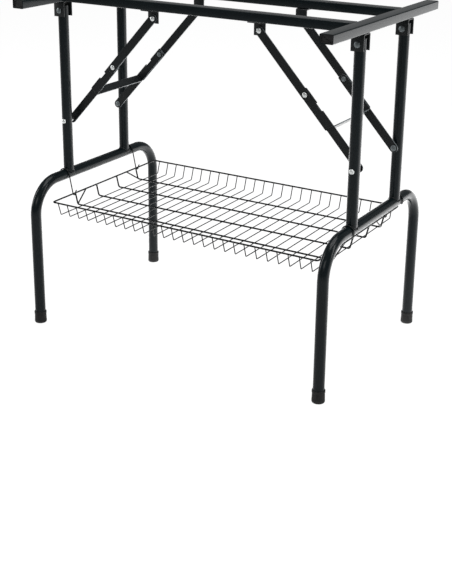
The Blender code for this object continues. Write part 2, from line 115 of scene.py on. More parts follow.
# Node groups ------------------------------------------------------------------------
class Nodes:
    """A short way to place and join shader nodes in one tree."""

    def __init__(self, tree: bpy.types.NodeTree) -> None:
        """Keep the node tree to build in."""
        self.tree = tree

    def add(self, kind: str, **values: object) -> bpy.types.Node:
        """Add a node and set its inputs or properties by name.

        Args:
            kind: The node's type name.
            values: Input names with spaces as underscores, or property names.

        Returns:
            The new node.
        """
        node = self.tree.nodes.new(kind)
        for key, value in values.items():
            label = key.replace("_", " ")
            if label in node.inputs:
                node.inputs[label].default_value = value
            else:
                setattr(node, key, value)
        return node

    def join(self, start: bpy.types.NodeSocket, end: bpy.types.NodeSocket) -> None:
        """Link an output to an input."""
        self.tree.links.new(start, end)

    def blend(
        self,
        mask: bpy.types.NodeSocket,
        low: object,
        high: object,
        start: float = 0.0,
        end: float = 1.0,
    ) -> bpy.types.NodeSocket:
        """Map a value to a range of numbers.

        Args:
            mask: The value.
            low: The result at start, a number or a socket.
            high: The result at end, a number or a socket.
            start: The value that gives low.
            end: The value that gives high.

        Returns:
            The mapped value.
        """
        node = self.add("ShaderNodeMapRange", From_Min=start, From_Max=end)
        self.join(mask, node.inputs["Value"])
        self.fill(node, (("To Min", low), ("To Max", high)))
        return node.outputs[0]

    def fill(self, node: bpy.types.Node, values: Sequence[tuple]) -> None:
        """Link or set inputs, whichever their values call for.

        Args:
            node: The node.
            values: Pairs of an input's name or number and a socket or a value.
        """
        for key, value in values:
            if isinstance(value, bpy.types.NodeSocket):
                self.join(value, node.inputs[key])
            else:
                node.inputs[key].default_value = value

    def mix(self, mask: object, low: object, high: object) -> bpy.types.NodeSocket:
        """Mix two colours.

        Args:
            mask: A socket or a number.
            low: The colour at 0, as a socket or four numbers.
            high: The colour at 1, as a socket or four numbers.

        Returns:
            The mixed colour.
        """
        node = self.tree.nodes.new("ShaderNodeMix")
        node.data_type = "RGBA"
        self.fill(node, ((0, mask), (6, low), (7, high)))
        return node.outputs[2]

    def product(self, first: object, second: object) -> bpy.types.NodeSocket:
        """Multiply two values.

        Args:
            first: A socket or a number.
            second: A socket or a number.

        Returns:
            Their product.
        """
        node = self.add("ShaderNodeMath", operation="MULTIPLY")
        self.fill(node, ((0, first), (1, second)))
        return node.outputs[0]

    def relief(
        self, height: bpy.types.NodeSocket, shader: bpy.types.Node, strength: float, depth: float
    ) -> None:
        """Feed a height to a shader's normal through a Bump node.

        Args:
            height: The height.
            shader: The shader.
            strength: The bump's strength.
            depth: Its depth.
        """
        bump = self.add("ShaderNodeBump", Strength=strength, Distance=depth)
        self.join(height, bump.inputs["Height"])
        self.join(bump.outputs["Normal"], shader.inputs["Normal"])


def new_group(name: str, inputs: dict[str, float], outputs: Sequence[str]) -> Nodes:
    """Start a shader node group.

    Args:
        name: The group's name.
        inputs: Number inputs and their defaults, after a Coordinates vector.
        outputs: Names of number outputs.

    Returns:
        The group's node builder.
    """
    tree = bpy.data.node_groups.new(name, "ShaderNodeTree")
    face = tree.interface
    face.new_socket("Coordinates", in_out="INPUT", socket_type="NodeSocketVector")
    for label, value in inputs.items():
        socket = face.new_socket(label, in_out="INPUT", socket_type="NodeSocketFloat")
        socket.default_value = value
    for label in outputs:
        face.new_socket(label, in_out="OUTPUT", socket_type="NodeSocketFloat")
    return Nodes(tree)


def build_powder_group() -> bpy.types.NodeTree:
    """The fine orange peel and cloudiness of baked powder coat.

    Returns:
        The group, with Height and Cloud outputs.
    """
    scales = {"Peel Scale": 900.0, "Cloud Scale": 9.0}
    n = new_group("powder_coat_peel", scales, ["Height", "Cloud"])
    start = n.add("NodeGroupInput")
    end = n.add("NodeGroupOutput")
    peel = n.add("ShaderNodeTexNoise", Detail=3.0, Roughness=0.55)
    cloud = n.add("ShaderNodeTexNoise", Detail=5.0, Roughness=0.62, Distortion=0.4)
    for node, scale in ((peel, "Peel Scale"), (cloud, "Cloud Scale")):
        n.join(start.outputs["Coordinates"], node.inputs["Vector"])
        n.join(start.outputs[scale], node.inputs["Scale"])
    n.join(peel.outputs["Fac"], end.inputs["Height"])
    n.join(cloud.outputs["Fac"], end.inputs["Cloud"])
    return n.tree


def build_dust_group() -> bpy.types.NodeTree:
    """Specks of dust and small handling marks.

    Returns:
        The group, with Specks and Marks outputs.
    """
    scales = {"Speck Scale": 420.0, "Mark Scale": 60.0}
    n = new_group("dust_and_marks", scales, ["Specks", "Marks"])
    start = n.add("NodeGroupInput")
    end = n.add("NodeGroupOutput")
    specks = n.add("ShaderNodeTexVoronoi", Randomness=1.0)
    marks = n.add("ShaderNodeTexNoise", Detail=6.0, Roughness=0.7, Distortion=1.6)
    for node, scale in ((specks, "Speck Scale"), (marks, "Mark Scale")):
        n.join(start.outputs["Coordinates"], node.inputs["Vector"])
        n.join(start.outputs[scale], node.inputs["Scale"])
    small = n.blend(specks.outputs["Distance"], 0.0, 1.0, 0.10, 0.04)
    thin = n.blend(marks.outputs["Fac"], 0.0, 1.0, 0.62, 0.74)
    n.join(small, end.inputs["Specks"])
    n.join(thin, end.inputs["Marks"])
    return n.tree


# Finishes ---------------------------------------------------------------------------
@dataclass(frozen=True)
class CoatedSteel:
    """Black powder coat, from glossy tube to satin wire."""

    name: str
    slot: str
    base: tuple[float, float, float]
    worn: tuple[float, float, float]
    rough: tuple[float, float]
    peel: float
    coat: float
    specular: float
    # how strongly the sheared edges get the painted highlight
    highlight_strength: float = 0.0

    def build(self, groups: dict[str, bpy.types.NodeTree]) -> bpy.types.Material:
        """Make the material.

        Args:
            groups: The shared node groups.

        Returns:
            The material.
        """
        material, n, shader, place = new_material(self.name)
        powder = n.add("ShaderNodeGroup", node_tree=groups["powder"])
        marks = n.add("ShaderNodeGroup", node_tree=groups["dust"])
        for node in (powder, marks):
            n.join(place, node.inputs["Coordinates"])
        cloudy = n.mix(powder.outputs["Cloud"], (*self.base, 1.0), (*self.worn, 1.0))
        faint = n.blend(marks.outputs["Specks"], 0.0, 0.25)
        dusty = n.mix(faint, cloudy, DUST)
        # The sheared edges of plate get a painted highlight, a lighter colour mixed into the
        # base.
        if self.highlight_strength:
            dusty = n.mix(self.painted_edge_highlight(n, powder.outputs["Cloud"]), dusty, EDGE_HIGHLIGHT_PAINT)
        n.join(dusty, shader.inputs["Base Color"])
        rough = n.blend(powder.outputs["Cloud"], *self.rough)
        rubbed = n.blend(marks.outputs["Marks"], rough, self.rough[1] + 0.10)
        n.join(rubbed, shader.inputs["Roughness"])
        n.relief(powder.outputs["Height"], shader, 0.08, self.peel)
        shader.inputs["Coat Weight"].default_value = self.coat
        shader.inputs["Coat Roughness"].default_value = 0.12
        shader.inputs["Specular IOR Level"].default_value = self.specular
        return material

    def painted_edge_highlight(self, n: Nodes, cloud: bpy.types.NodeSocket) -> bpy.types.NodeSocket:
        """A painted highlight on a sheared edge, patchy with the broad variation.

        Args:
            n: The material's nodes.
            cloud: The broad variation.

        Returns:
            The mask.
        """
        edge = n.add("ShaderNodeAttribute", attribute_name="cut_edge")
        patchy = n.blend(cloud, 0.0, self.highlight_strength, 0.35, 0.6)
        return n.product(edge.outputs["Fac"], patchy)


@dataclass(frozen=True)
class BrightZinc:
    """Zinc plate on rivets, with a fine turned grain and dull patches."""

    name: str
    slot: str
    base: tuple[float, float, float]
    dull: tuple[float, float, float]
    rough: tuple[float, float]

    def build(self, groups: dict[str, bpy.types.NodeTree]) -> bpy.types.Material:
        """Make the material.

        Args:
            groups: The shared node groups.

        Returns:
            The material.
        """
        material, n, shader, place = new_material(self.name)
        powder = n.add("ShaderNodeGroup", node_tree=groups["powder"])
        powder.inputs["Cloud Scale"].default_value = 160.0
        powder.inputs["Peel Scale"].default_value = 2600.0
        n.join(place, powder.inputs["Coordinates"])
        tint = n.mix(powder.outputs["Cloud"], (*self.base, 1.0), (*self.dull, 1.0))
        n.join(tint, shader.inputs["Base Color"])
        n.join(n.blend(powder.outputs["Cloud"], *self.rough), shader.inputs["Roughness"])
        n.relief(powder.outputs["Height"], shader, 0.10, 0.00004)
        shader.inputs["Metallic"].default_value = 1.0
        return material


@dataclass(frozen=True)
class MouldedRubber:
    """Matte black rubber with a fine moulded grain and grey scuffs low down."""

    name: str
    slot: str
    base: tuple[float, float, float]
    scuff: tuple[float, float, float]
    rough: tuple[float, float]

    def build(self, groups: dict[str, bpy.types.NodeTree]) -> bpy.types.Material:
        """Make the material.

        Args:
            groups: The shared node groups.

        Returns:
            The material.
        """
        material, n, shader, place = new_material(self.name)
        powder = n.add("ShaderNodeGroup", node_tree=groups["powder"])
        powder.inputs["Cloud Scale"].default_value = 70.0
        powder.inputs["Peel Scale"].default_value = 1700.0
        marks = n.add("ShaderNodeGroup", node_tree=groups["dust"])
        for node in (powder, marks):
            n.join(place, node.inputs["Coordinates"])
        split = n.add("ShaderNodeSeparateXYZ")
        n.join(place, split.inputs["Vector"])
        low = n.blend(split.outputs["Z"], 0.0, 1.0, 0.008, 0.0)
        worn = n.product(low, powder.outputs["Cloud"])
        cloudy = n.mix(powder.outputs["Cloud"], (*self.base, 1.0), RUBBER_BLOOM)
        n.join(n.mix(worn, cloudy, (*self.scuff, 1.0)), shader.inputs["Base Color"])
        n.join(n.blend(marks.outputs["Marks"], *self.rough), shader.inputs["Roughness"])
        n.relief(powder.outputs["Height"], shader, 0.35, 0.00008)
        shader.inputs["Specular IOR Level"].default_value = 0.15
        return material


def new_material(name: str) -> tuple:
    """A material with an object-space coordinate ready.

    Args:
        name: The material's name.

    Returns:
        The material, its node builder, its Principled shader and the coordinates.
    """
    material = bpy.data.materials.new(name)
    material.use_nodes = True
    n = Nodes(material.node_tree)
    shader = material.node_tree.nodes["Principled BSDF"]
    place = n.add("ShaderNodeTexCoord").outputs["Object"]
    return material, n, shader, place


class Finish(Enum):
    """Every finish on the object."""

    TUBE = CoatedSteel(
        "gloss_black_tube", "coated_steel",
        base=(0.0018, 0.0040, 0.0050), worn=(0.0036, 0.0064, 0.0078),
        rough=(0.18, 0.28), peel=0.00008, coat=0.05, specular=0.12,
    )
    PLATE = CoatedSteel(
        "satin_black_plate", "coated_steel",
        base=(0.0030, 0.0042, 0.0048), worn=(0.0062, 0.0076, 0.0084),
        rough=(0.34, 0.46), peel=0.00012, coat=0.03, specular=0.15, highlight_strength=0.75,
    )
    WIRE = CoatedSteel(
        "satin_black_wire", "coated_wire",
        base=(0.0024, 0.0034, 0.0040), worn=(0.0048, 0.0060, 0.0066),
        rough=(0.28, 0.40), peel=0.00005, coat=0.04, specular=0.14,
    )
    WELD = CoatedSteel(
        "coated_weld_bead", "coated_steel",
        base=(0.0032, 0.0045, 0.0052), worn=(0.0080, 0.0100, 0.0110),
        rough=(0.26, 0.44), peel=0.00020, coat=0.06, specular=0.20,
    )
    PLUG = MouldedRubber(
        "moulded_end_plug", "rubber",
        base=(0.006, 0.006, 0.007), scuff=(0.030, 0.030, 0.030), rough=(0.48, 0.60),
    )
    RIVET = BrightZinc(
        "bright_zinc", "zinc",
        base=(0.72, 0.74, 0.73), dull=(0.42, 0.44, 0.44), rough=(0.20, 0.38),
    )
    # A darker copy of the bright zinc, as painted shade, for the back-row rivets, the knee pins
    # and the hinge rivets.
    SHADED_RIVET = BrightZinc(
        "zinc_with_painted_shade", "zinc",
        base=(0.16, 0.18, 0.18), dull=(0.08, 0.09, 0.10), rough=(0.36, 0.54),
    )
    RUBBER = MouldedRubber(
        "matte_rubber", "rubber",
        base=(0.0050, 0.0056, 0.0060), scuff=(0.040, 0.040, 0.038), rough=(0.58, 0.78),
    )


MATERIALS: dict[Finish, bpy.types.Material] = {}


def build_materials() -> None:
    """Build the shared groups once and a material for each finish."""
    groups = {"powder": build_powder_group(), "dust": build_dust_group()}
    for finish in Finish:
        MATERIALS[finish] = finish.value.build(groups)


# Bench tools ------------------------------------------------------------------------
def clear_selection() -> None:
    """Leave object mode and select nothing."""
    if bpy.context.object is not None and bpy.context.object.mode != "OBJECT":
        bpy.ops.object.mode_set(mode="OBJECT")
    bpy.ops.object.select_all(action="DESELECT")


def take(obj: bpy.types.Object) -> None:
    """Make one object the only selected and active one.

    Args:
        obj: The object.
    """
    clear_selection()
    obj.select_set(True)
    bpy.context.view_layer.objects.active = obj


def open_mesh() -> None:
    """Apply the active object's place and edit its mesh, with all of it selected."""
    apply_place()
    bpy.ops.object.mode_set(mode="EDIT")
    bpy.ops.mesh.select_all(action="SELECT")


def apply_place() -> None:
    """Put the active object's place, turn and scale into its mesh."""
    bpy.ops.object.transform_apply(location=True, rotation=True, scale=True)


def draw_out(move: Point) -> None:
    """Extrude what is selected and move it."""
    bpy.ops.mesh.extrude_region_move(TRANSFORM_OT_translate={"value": move})


def tidy_mesh(obj: bpy.types.Object, angle: float = 35.0) -> None:
    """Merge doubles, face outwards and shade smooth up to an angle.

    Args:
        obj: The mesh object.
        angle: The sharpest angle, in degrees, that is shaded smooth.
    """
    take(obj)
    bpy.ops.object.mode_set(mode="EDIT")
    bpy.ops.mesh.select_all(action="SELECT")
    bpy.ops.mesh.remove_doubles(threshold=0.00001)
    bpy.ops.mesh.normals_make_consistent(inside=False)
    bpy.ops.object.mode_set(mode="OBJECT")
    bpy.ops.object.shade_smooth_by_angle(angle=math.radians(angle))


def lay(obj: bpy.types.Object, place: Matrix) -> bpy.types.Object:
    """Put an object in its place and apply it to the mesh.

    Args:
        obj: The object.
        place: Its place in the frame.

    Returns:
        The object.
    """
    take(obj)
    obj.matrix_world = place @ obj.matrix_world
    apply_place()
    return obj


def soften(obj: bpy.types.Object, width: float, segments: int = 2) -> None:
    """Round the sharp edges with an applied Bevel.

    Args:
        obj: The mesh object.
        width: The bevel's width.
        segments: Its segments.
    """
    take(obj)
    bevel = obj.modifiers.new("soft_edge", "BEVEL")
    bevel.width = width
    bevel.segments = segments
    bevel.limit_method = "ANGLE"
    bevel.angle_limit = math.radians(40)
    bpy.ops.object.modifier_apply(modifier=bevel.name)


def hollow(obj: bpy.types.Object, wall: float) -> None:
    """Give an open shell a wall, inwards from its surface.

    Args:
        obj: The shell.
        wall: The wall's thickness.
    """
    take(obj)
    solid = obj.modifiers.new("wall", "SOLIDIFY")
    solid.thickness = wall
    solid.offset = -1
    bpy.ops.object.modifier_apply(modifier=solid.name)


def joined(name: str, pieces: Sequence[bpy.types.Object]) -> bpy.types.Object:
    """Join objects into one.

    Args:
        name: The result's name.
        pieces: The objects.

    Returns:
        The joined object.
    """
    clear_selection()
    for piece in pieces:
        piece.select_set(True)
    bpy.context.view_layer.objects.active = pieces[0]
    if len(pieces) > 1:
        bpy.ops.object.join()
    pieces[0].name = name
    return pieces[0]


def dress(
    obj: bpy.types.Object, name: str, finish: Finish, body: str, *nodes: str
) -> bpy.types.Object:
    """Name a finished piece, give it its material and hang it on its body.

    Args:
        obj: The piece.
        name: Its name.
        finish: Its finish.
        body: The body that it rides on.
        nodes: The plain nodes that it stands for.

    Returns:
        The piece.
    """
    obj.name = name
    obj.data.name = name
    obj.data.materials.clear()
    obj.data.materials.append(MATERIALS[finish])
    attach(obj, body)
    if nodes:
        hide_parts(*nodes)
    log.info("%s on %s, %d faces", name, body, len(obj.data.polygons))
    return obj


# Shapes -----------------------------------------------------------------------------
def rounded(points: Sequence[Vector], radius: float, steps: int = 6) -> list[Vector]:
    """A polyline whose corners are turned into arcs.

    Args:
        points: The corner points.
        radius: The bend radius.
        steps: Segments in each bend.

    Returns:
        The points of the rounded line.
    """
    path = [Vector(points[0])]
    for before, corner, after in zip(points, points[1:], points[2:]):
        a = (Vector(before) - Vector(corner)).normalized()
        b = (Vector(after) - Vector(corner)).normalized()
        opening = a.angle(b)
        back = radius / math.tan(opening / 2)
        centre = Vector(corner) + (a + b).normalized() * (radius / math.sin(opening / 2))
        start = Vector(corner) + a * back - centre
        end = Vector(corner) + b * back - centre
        sweep = start.angle(end)
        for i in range(steps + 1):
            t = i / steps
            arm = start * math.sin((1 - t) * sweep) + end * math.sin(t * sweep)
            path.append(centre + arm / math.sin(sweep))
    path.append(Vector(points[-1]))
    return path


def wire(
    name: str,
    path: Sequence[Vector],
    radius: float,
    closed: bool = False,
    sides: int = WIRE_ROUND,
    swell: Callable[[int], float] | None = None,
) -> bpy.types.Object:
    """A round wire along a path.

    Args:
        name: The wire's name.
        path: The points of its centre line.
        radius: Its radius.
        closed: Whether it is a ring.
        sides: Faces round it.
        swell: The radius factor at each point, for a weld bead.

    Returns:
        The mesh object.
    """
    clear_selection()
    bpy.ops.curve.primitive_nurbs_path_add()
    obj = bpy.context.object
    obj.location = (0.0, 0.0, 0.0)
    curve = obj.data
    curve.splines.clear()
    spline = curve.splines.new("POLY")
    spline.points.add(len(path) - 1)
    for i, point in enumerate(path):
        spline.points[i].co = (*point, 1.0)
        spline.points[i].radius = swell(i) if swell else 1.0
    spline.use_cyclic_u = closed
    curve.bevel_depth = radius
    curve.bevel_resolution = (sides - 4) // 2
    curve.use_fill_caps = not closed
    bpy.ops.object.convert(target="MESH")
    obj = bpy.context.object
    obj.name = name
    tidy_mesh(obj, WIRE_SMOOTH)
    return obj


def round_sheet(
    size: tuple[float, float], corner: float, steps: int, place: Point = (0.0, 0.0, 0.0)
) -> bpy.types.Object:
    """A flat rectangle with round corners, left open in edit mode.

    Args:
        size: Its sizes along X and Y.
        corner: The corner radius.
        steps: Segments in each corner.
        place: Its middle.

    Returns:
        The mesh object.
    """
    clear_selection()
    bpy.ops.mesh.primitive_plane_add(size=1.0, location=place)
    obj = bpy.context.object
    obj.scale = (*size, 1.0)
    open_mesh()
    bpy.ops.mesh.bevel(offset=corner, segments=steps, affect="VERTICES")
    return obj


def lathe(name: str, profile: Profile, steps: int = ROUND) -> bpy.types.Object:
    """A turned solid, drawn out of a disc by extruding and scaling it along Z.

    Args:
        name: The piece's name.
        profile: Radius and height pairs, starting on the bottom disc.
        steps: Faces round it.

    Returns:
        The mesh object.
    """
    clear_selection()
    radius, height = profile[0]
    bpy.ops.mesh.primitive_circle_add(
        vertices=steps, radius=radius, fill_type="NGON", location=(0, 0, height)
    )
    obj = bpy.context.object
    open_mesh()
    for next_radius, next_height in profile[1:]:
        draw_out((0.0, 0.0, next_height - height))
        factor = next_radius / radius
        centre = (0, 0, next_height)
        bpy.ops.transform.resize(value=(factor, factor, 1.0), center_override=centre)
        radius, height = next_radius, next_height
    bpy.ops.object.mode_set(mode="OBJECT")
    obj.name = name
    tidy_mesh(obj, TURNED_SMOOTH)
    return obj


def flat_bar(
    name: str,
    start: float,
    end: float,
    width: float,
    corner: float,
    turns: int = 10,
    notch: Notch | None = None,
) -> bpy.types.Object:
    """A flat steel strip along X with round corners and softened edges.

    Args:
        name: The strip's name.
        start: Where it starts along X.
        end: Where it ends along X.
        width: Its width along Y.
        corner: The corner radius.
        turns: Segments in each corner.
        notch: A step to cut out of one long edge.

    Returns:
        The mesh object, its thickness centred on Z zero.
    """
    place = ((start + end) / 2, 0, -PLATE / 2)
    obj = round_sheet((end - start, width), corner, turns, place)
    if notch:
        cut_notch(obj, notch)
    bpy.ops.mesh.select_mode(type="FACE")
    bpy.ops.mesh.select_all(action="SELECT")
    draw_out((0, 0, PLATE))
    bpy.ops.mesh.select_mode(type="VERT")
    bpy.ops.object.mode_set(mode="OBJECT")
    obj.name = name
    tidy_mesh(obj)
    soften(obj, SOFT_EDGE)
    mark_cut_edges(obj)
    return obj


def cut_notch(obj: bpy.types.Object, notch: Notch) -> None:
    """Bisect a flat outline round a notch and delete what lies inside it.

    Args:
        obj: The flat outline, in edit mode.
        notch: The step to cut.
    """
    cuts = (
        ((notch.start, 0, 0), (1, 0, 0)),
        ((notch.end, 0, 0), (1, 0, 0)),
        ((0, notch.floor, 0), (0, 1, 0)),
    )
    for spot, facing in cuts:
        bpy.ops.mesh.select_all(action="SELECT")
        bpy.ops.mesh.bisect(plane_co=spot, plane_no=facing)
    bpy.ops.mesh.select_all(action="DESELECT")
    bpy.ops.object.mode_set(mode="OBJECT")
    for face in obj.data.polygons:
        beyond = abs(face.center.y) > abs(notch.floor) and face.center.y * notch.floor > 0
        face.select = beyond and notch.start < face.center.x < notch.end
    bpy.ops.object.mode_set(mode="EDIT")
    bpy.ops.mesh.select_mode(type="FACE")
    bpy.ops.mesh.delete(type="FACE")


def mark_cut_edges(obj: bpy.types.Object) -> None:
    """Mark a flat strip's sheared faces, where the painted edge highlight goes.

    Args:
        obj: The strip, still flat on the XY plane.
    """
    layer = obj.data.attributes.new("cut_edge", "FLOAT", "FACE")
    for face, value in zip(obj.data.polygons, layer.data):
        value.value = 1.0 if abs(face.normal.z) < SHEAR_TILT else 0.0


def weld_bead(name: str, path: Sequence[Vector], radius: float, closed: bool) -> bpy.types.Object:
    """A rippled bead of weld along a path.

    Args:
        name: The bead's name.
        path: The points that it follows.
        radius: Its radius.
        closed: Whether it runs all the way round.

    Returns:
        The mesh object.
    """

    def swell(i: int) -> float:
        """The radius factor at one point."""
        return 1.0 + RIPPLE * math.sin(i * RIPPLE_STEP)

    return wire(name, path, radius, closed, BEAD_ROUND, swell)


# Leg frames -------------------------------------------------------------------------
@dataclass
class LegFrame:
    """One bent tube leg frame with its two posts, feet, hooks and pivot rivets."""

    side: str
    bend: float = 0.076
    wall: float = 0.0015
    hook_wire: float = 0.0015
    hook_slim: float = 0.00005
    rim_wire: float = 0.0020
    saddle: float = 0.55
    bead: float = 0.0015
    bead_points: int = 96
    lip: float = 0.0008
    bore_floor: float = 0.006
    sole: Profile = ((0.0030, 0.0012), (0.0085, 0.0012), (0.0092, 0.0))
    tread: Profile = (
        (0.0026, 0.0), (0.0012, 0.0004), (0.0004, 0.0014),
        (0.0, 0.0032), (0.0001, 0.0060), (0.0004, 0.0120),
    )
    collar: Profile = (
        (0.0006, 0.0084), (0.0011, 0.0078), (0.0011, 0.0071), (0.0003, 0.0066),
        (0.0, 0.0059), (0.0, 0.0010), (0.0004, 0.0003), (0.0009, 0.0),
    )
    shank: float = 0.0040
    shoulder: float = 0.0060
    inner_head: float = 0.0070
    hook_turns: tuple[float, float] = (-35.0, 175.0)
    hook_tip: Profile = ((-0.0006, 0.0025), (-0.0014, 0.0055), (-0.0035, 0.0090))
    x: float = field(init=False)
    tube_r: float = field(init=False)
    leg_y: float = field(init=False)
    over: float = field(init=False)
    rail_z: float = field(init=False)
    foot_z: float = field(init=False)
    pivot: Vector = field(init=False)
    body: str = field(init=False)

    def __post_init__(self) -> None:
        """Read the tube's size and place from its node."""
        node = f"{self.side}_leg_tube"
        self.x = middle(node).x
        self.tube_r = extent(node).x / 2
        self.leg_y = abs(middle(f"{self.side}_front_foot").y)
        self.over = self.tube_r + GAP + self.hook_wire
        self.rail_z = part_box(f"{self.side}_front_hook")[1][2] - self.over - self.hook_wire
        self.foot_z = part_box(node)[0][2]
        self.pivot = joint_place(f"{self.side}_lower_brace_turn")
        self.body = f"{self.side}_leg"

    def build(self) -> None:
        """Model every piece of the frame."""
        self.tube()
        for row in ROWS:
            self.post(row)
            self.foot(row)
            self.hook(row)
            self.pivot_rivet(row)

    def tube(self) -> None:
        """Draw the tube out of a ring: up, round, across, round and down."""
        clear_selection()
        bpy.ops.mesh.primitive_circle_add(
            vertices=ROUND, radius=self.tube_r, location=(self.x, -self.leg_y, self.foot_z)
        )
        obj = bpy.context.object
        open_mesh()
        straight = self.rail_z - self.bend - self.foot_z
        run = 2 * (self.leg_y - self.bend)
        bend_z = self.rail_z - self.bend
        draw_out((0, 0, straight))
        self.spin((self.x, -self.leg_y + self.bend, bend_z))
        draw_out((0, run, 0))
        self.spin((self.x, self.leg_y - self.bend, bend_z))
        draw_out((0, 0, -straight))
        bpy.ops.object.mode_set(mode="OBJECT")
        tidy_mesh(obj, TUBE_SMOOTH)
        hollow(obj, self.wall)
        tidy_mesh(obj, TUBE_SMOOTH)
        name = f"{self.side}_bent_tube"
        dress(obj, name, Finish.TUBE, self.body, f"{self.side}_leg_tube")

    def spin(self, centre: Point) -> None:
        """Sweep the selected ring a quarter turn round the middle of a bend."""
        bpy.ops.mesh.spin(steps=20, angle=math.pi / 2, center=centre, axis=(1, 0, 0))

    def post(self, row: str) -> None:
        """An upright, saddled onto the rail, with a weld round its foot and a plug on top.

        Args:
            row: front or back.
        """
        node = f"{self.side}_{row}_post"
        y = middle(node).y
        radius = extent(node).x / 2
        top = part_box(node)[1][2]
        low = self.rail_z + self.tube_r * self.saddle
        lip = self.lip
        profile = [(radius, low), (radius, top - lip), (radius - lip, top)]
        profile += [(radius - 2 * lip, top), (radius - 0.0018, top - 0.003)]
        post = lathe(node + "_tube", profile)
        lay(post, Matrix.Translation((self.x, y, 0)))
        dress(post, node + "_tube", Finish.TUBE, self.body, node)
        path = []
        for i in range(self.bead_points):
            turn = 2 * math.pi * i / self.bead_points
            across = (radius + 0.0006) * math.cos(turn)
            along = (radius + 0.0006) * math.sin(turn)
            inside = min(abs(across), self.tube_r)
            rise = math.sqrt(max((self.tube_r + 0.0004) ** 2 - inside ** 2, 0))
            path.append(Vector((self.x + across, y + along, self.rail_z + rise)))
        bead = weld_bead(node + "_weld", path, self.bead, True)
        dress(bead, node + "_weld", Finish.WELD, self.body)
        profile = [(radius - 0.0022, top - 0.004), (radius - 0.0022, top - GAP)]
        profile += [(radius - 0.0030, top), (radius - 0.006, top)]
        plug = lathe(node + "_plug", profile, 32)
        lay(plug, Matrix.Translation((self.x, y, 0)))
        dress(plug, node + "_plug", Finish.PLUG, self.body)

    def foot(self, row: str) -> None:
        """A moulded rubber cap with a collar, a fine groove and a slight flare.

        Args:
            row: front or back.
        """
        node = f"{self.side}_{row}_foot"
        centre = middle(node)
        radius = extent(node).x / 2
        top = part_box(node)[1][2]
        bore = self.tube_r + GAP
        profile = list(self.sole)
        profile += [(radius - inset, height) for inset, height in self.tread]
        profile += [(radius - inset, top - drop) for inset, drop in self.collar]
        profile += [(bore, top), (bore, self.bore_floor), (self.sole[0][0], self.bore_floor)]
        foot = lathe(node + "_cap", profile, 64)
        lay(foot, Matrix.Translation((centre.x, centre.y, 0)))
        dress(foot, node + "_cap", Finish.RUBBER, self.body, node)

    def hook(self, row: str) -> None:
        """An S of wire over the rail and under the basket's end wire.

        Args:
            row: front or back.
        """
        node = f"{self.side}_{row}_hook"
        y = middle(node).y
        low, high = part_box(f"basket_{self.side}_end")
        rim_x = max(abs(low[0]), abs(high[0])) - self.rim_wire
        rim_z = high[2] - self.rim_wire
        sign = SIDES[self.side]
        over = self.over
        under = self.rim_wire + GAP + self.hook_wire
        drop = Vector((rim_x - abs(self.x), rim_z - self.rail_z))
        lean = math.atan2(drop.y, drop.x) % (2 * math.pi)
        cross = lean - math.acos((over + under) / drop.length)
        tail, curl = (math.radians(turn) for turn in self.hook_turns)
        path = arc(Vector((0, 0)), over, tail, cross, 20)
        path += arc(drop, under, cross + math.pi, curl, 12)
        end = path[-1]
        path += [end + Vector(bend) for bend in self.hook_tip]
        places = [
            Vector((sign * (abs(self.x) + p.x), y, self.rail_z + p.y)) for p in path
        ]
        hook = wire(node + "_wire", places, self.hook_wire - self.hook_slim)
        dress(hook, node + "_wire", Finish.WIRE, self.body, node)

    def pivot_rivet(self, row: str) -> None:
        """The stepped rivet between a post and its lower arm.

        Args:
            row: front or back.
        """
        node = f"{self.side}_{row}_pivot_rivet"
        low, high = row_span(node, row)
        shank, shoulder = self.shank, self.shoulder
        post = middle(f"{self.side}_{row}_post")
        half = extent(f"{self.side}_{row}_post").x / 2
        out = abs(post.y) + half
        inner = abs(post.y) - half
        arm = abs(middle(f"{self.side}_{row}_lower_arm").y)
        profile = [(0.0012, low), (0.0052, low + 0.0005), (0.0066, low + 0.0016)]
        profile += [(self.inner_head, arm - PLATE / 2 - GAP), (shank, arm - PLATE / 2 - GAP)]
        profile += [(shank, arm + PLATE / 2 + GAP), (shoulder, arm + PLATE / 2 + GAP)]
        profile += [(shoulder, inner - GAP), (shank, inner - GAP), (shank, out)]
        profile += [(shoulder, out + GAP), (0.0059, out + 0.0008)]
        profile += dome(0.0056, out + 0.0009, high, 7)
        rivet = lathe(node + "_head", profile, RIVET_ROUND)
        lay(rivet, outward(row, self.pivot))
        # The back row gets the darker zinc copy, a painted shade.
        finish = Finish.RIVET if row == "front" else Finish.SHADED_RIVET
        dress(rivet, node + "_head", finish, self.body, node)


def arc(centre: Vector, radius: float, start: float, end: float, steps: int) -> list[Vector]:
    """The points of an arc, from its first angle to its last in even steps."""
    turns = [start + (end - start) * (i / steps) for i in range(steps + 1)]
    return [centre + radius * Vector((math.cos(turn), math.sin(turn))) for turn in turns]


def dome(radius: float, low: float, high: float, steps: int) -> list[tuple[float, float]]:
    """The profile of a domed head that ends in a small dimple.

    Args:
        radius: The head's radius.
        low: Where the dome starts.
        high: Its top.
        steps: Points along it.

    Returns:
        Radius and height pairs.
    """
    turns = [math.pi / 2 * i / steps for i in range(steps)]
    cap = [(radius * math.cos(t), low + (high - low) * math.sin(t)) for t in turns]
    return cap + [(radius * 0.14, high), (radius * 0.10, high - 0.0003)]


def outward(row: str, place: Vector) -> Matrix:
    """A turn of +Z away from the middle plane, at a joint's X and Z."""
    turn = Matrix.Rotation(-ROWS[row] * math.pi / 2, 4, "X")
    return Matrix.Translation((place.x, 0.0, place.z)) @ turn


def row_span(node: str, row: str) -> tuple[float, float]:
    """How far from the middle plane a node starts and ends."""
    near, far = sorted(corner[1] * ROWS[row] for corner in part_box(node))
    return near, far


